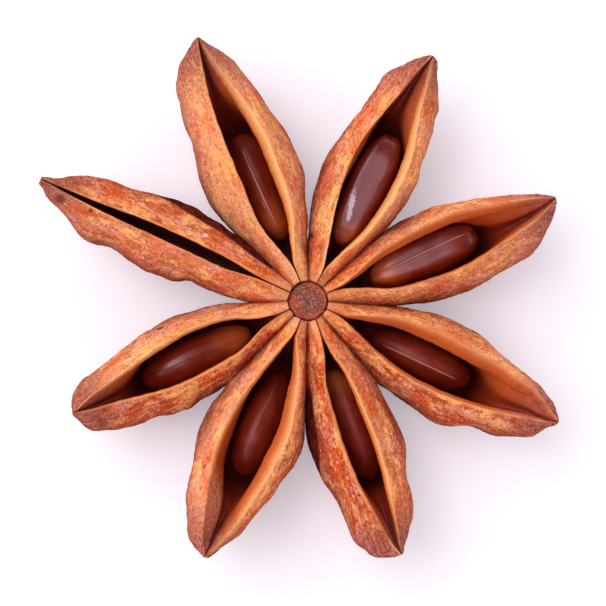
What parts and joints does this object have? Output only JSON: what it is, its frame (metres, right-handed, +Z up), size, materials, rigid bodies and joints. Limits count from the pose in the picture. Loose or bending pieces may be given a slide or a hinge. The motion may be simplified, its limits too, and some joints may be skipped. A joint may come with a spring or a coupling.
{
  "type": "star anise",
  "caption": "Dried star anise fruit lying on its back: boat-shaped woody pods round a short column, split open along the top, with glossy flat brown seeds loose inside.",
  "frame": {"origin": "middle of the fruit's box, on the surface that it lies on", "axes": "+Z up, out of the open side of the pods; +X towards the right of the picture and +Y towards its top"},
  "size_m": [0.0354, 0.0354, 0.0087],
  "materials": {
    "husk": "rough dry orange-brown husk, pitted and wrinkled outside, smooth with a low gloss inside the pods",
    "seed_coat": "hard, smooth and glossy red-brown"
  },
  "bodies": {
    "root": {"star": "husk", "seed_1": "seed_coat", "seed_2": "seed_coat", "seed_3": "seed_coat", "seed_4": "seed_coat", "seed_5": "seed_coat", "seed_6": "seed_coat", "seed_7": "seed_coat"}
  },
  "joints": []
}
